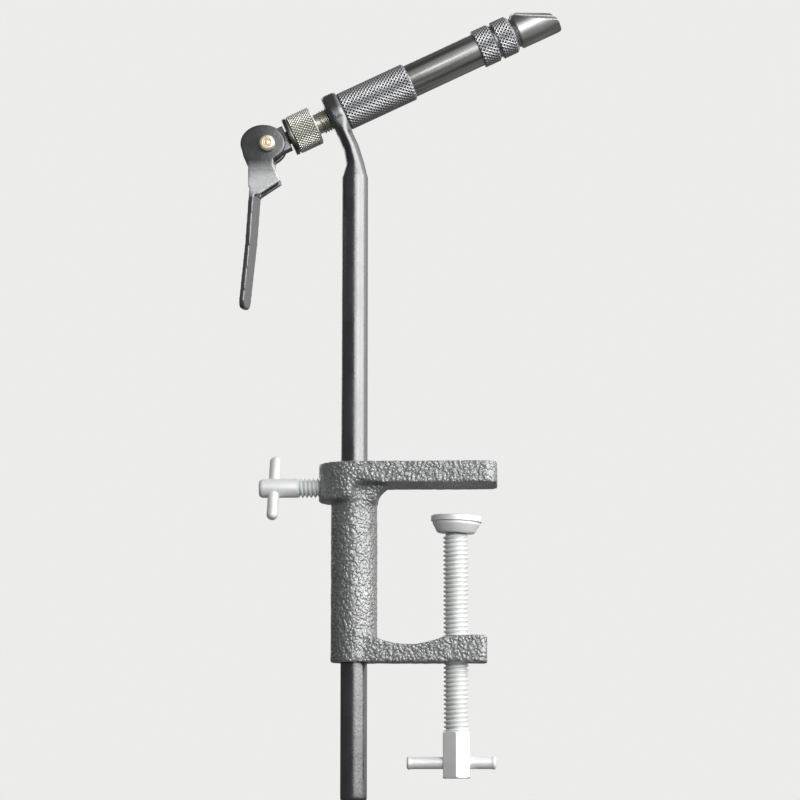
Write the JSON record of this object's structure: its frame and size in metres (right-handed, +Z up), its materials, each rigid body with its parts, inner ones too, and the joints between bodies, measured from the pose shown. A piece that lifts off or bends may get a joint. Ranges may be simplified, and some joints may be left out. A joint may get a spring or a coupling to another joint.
{
  "type": "fly tying vise",
  "caption": "Table-clamp fly tying vise: screw clamp, height-adjustable stem and a tilted head with split jaws closed by a cam lever.",
  "frame": {"origin": "where the clamp screw's axis meets the underside of the upper clamp jaw, which is the face that rests on the table top", "axes": "+Z up along the stem, +X from the stem towards the clamp jaws' tips and the head's jaw end, +Y away from the viewer in the picture"},
  "size_m": [0.118, 0.0254, 0.2889],
  "materials": {
    "hammertone": "black hammertone paint on cast iron",
    "black_enamel": "glossy black enamel",
    "zinc": "bright zinc plate",
    "blackened_knurl": "blackened steel, knurled, with bright crests",
    "dark_steel": "dark polished steel",
    "grey_steel": "oiled grey steel",
    "brass": "turned brass",
    "spring_steel": "spring wire"
  },
  "bodies": {
    "clamp": {"clamp_frame": "hammertone"},
    "stem": {"stem": "black_enamel"},
    "lock_screw": {"stem_lock_screw": "zinc", "lock_screw_bar": "zinc"},
    "pad": {"pressure_pad": "zinc"},
    "clamp_screw": {"clamp_screw": "zinc"},
    "tommy_bar": {"clamp_screw_bar": "zinc"},
    "barrel": {"barrel": "dark_steel", "return_spring": "spring_steel"},
    "sleeve": {"lock_sleeve": "blackened_knurl"},
    "lock_ring": {"ring_lock_nut": "blackened_knurl"},
    "closing_ring": {"closing_ring": "blackened_knurl"},
    "washer": {"cam_washer": "grey_steel"},
    "nut": {"adjusting_nut": "grey_steel"},
    "drawbar": {"drawbar": "grey_steel", "drawbar_eye": "black_enamel", "jaw_spreader_spring": "spring_steel"},
    "lever": {"cam_lever": "black_enamel", "pivot_pin": "brass"},
    "near_jaw": {"jaw_near": "dark_steel"},
    "far_jaw": {"jaw_far": "dark_steel"}
  },
  "joints": [
    {"name": "stem_height", "type": "slide", "parent": "clamp", "child": "stem", "axis": [0, 0, 1], "range_m": [-0.045, 0.044]},
    {"name": "lock_screw_turn", "type": "hinge", "parent": "clamp", "child": "lock_screw", "pos_m": [-0.0492, 0, -0.0006], "axis": [1, 0, 0], "range_deg": [-360, 0]},
    {"name": "pad_lift", "type": "slide", "parent": "clamp", "child": "pad", "axis": [0, 0, 1], "range_m": [-0.036, 0.0104]},
    {"name": "screw_turn", "type": "hinge", "parent": "pad", "child": "clamp_screw", "pos_m": [0, 0, -0.0538], "axis": [0, 0, 1], "range_deg": [-8110, 2350]},
    {"name": "clamp_bar_slide", "type": "slide", "parent": "clamp_screw", "child": "tommy_bar", "axis": [1, 0, 0], "range_m": [-0.0073, 0.0109]},
    {"name": "head_roll", "type": "hinge", "parent": "stem", "child": "barrel", "pos_m": [-0.0434, 0, 0.1371], "axis": [0.9063, 0, 0.4226], "range_deg": [-180, 180]},
    {"name": "sleeve_turn", "type": "hinge", "parent": "barrel", "child": "sleeve", "pos_m": [-0.0289, 0, 0.14386], "axis": [0.9063, 0, 0.4226], "range_deg": [0, 180]},
    {"name": "lock_ring_turn", "type": "hinge", "parent": "barrel", "child": "lock_ring", "pos_m": [0.01188, 0, 0.16288], "axis": [0.9063, 0, 0.4226], "range_deg": [-180, 0]},
    {"name": "closing_ring_turn", "type": "hinge", "parent": "barrel", "child": "closing_ring", "pos_m": [0.01859, 0, 0.16601], "axis": [0.9063, 0, 0.4226], "range_deg": [-180, 180]},
    {"name": "nut_advance", "type": "slide", "parent": "barrel", "child": "washer", "axis": [0.9063, 0, 0.4226], "range_m": [0, 0.003]},
    {"name": "nut_turn", "type": "hinge", "parent": "washer", "child": "nut", "pos_m": [-0.05518, 0, 0.13161], "axis": [0.9063, 0, 0.4226], "range_deg": [0, 1018]},
    {"name": "drawbar_pull", "type": "slide", "parent": "washer", "child": "drawbar", "axis": [0.9063, 0, 0.4226], "range_m": [-0.00096, 0.00022]},
    {"name": "lever_swing", "type": "hinge", "parent": "drawbar", "child": "lever", "pos_m": [-0.06837, 0, 0.12546], "axis": [0, 1, 0], "range_deg": [-25, 110]},
    {"name": "near_jaw_close", "type": "hinge", "parent": "drawbar", "child": "near_jaw", "pos_m": [-0.00481, 0, 0.1551], "axis": [0.3731, 0.4695, -0.8002], "range_deg": [-0.56, 0.14]},
    {"name": "far_jaw_close", "type": "hinge", "parent": "drawbar", "child": "far_jaw", "pos_m": [-0.00481, 0, 0.1551], "axis": [0.3731, 0.4695, -0.8002], "range_deg": [-0.14, 0.56]}
  ],
  "couplings": [
    {"joint": "screw_turn", "follows": "pad_lift", "rad_per_m": 3927},
    {"joint": "nut_advance", "follows": "nut_turn", "m_per_rad": 0.0001687},
    {"joint": "drawbar_pull", "follows": "lever_swing", "m_per_rad": -0.000495},
    {"joint": "near_jaw_close", "follows": "lever_swing", "ratio": -0.00489},
    {"joint": "far_jaw_close", "follows": "lever_swing", "ratio": 0.00489}
  ]
}
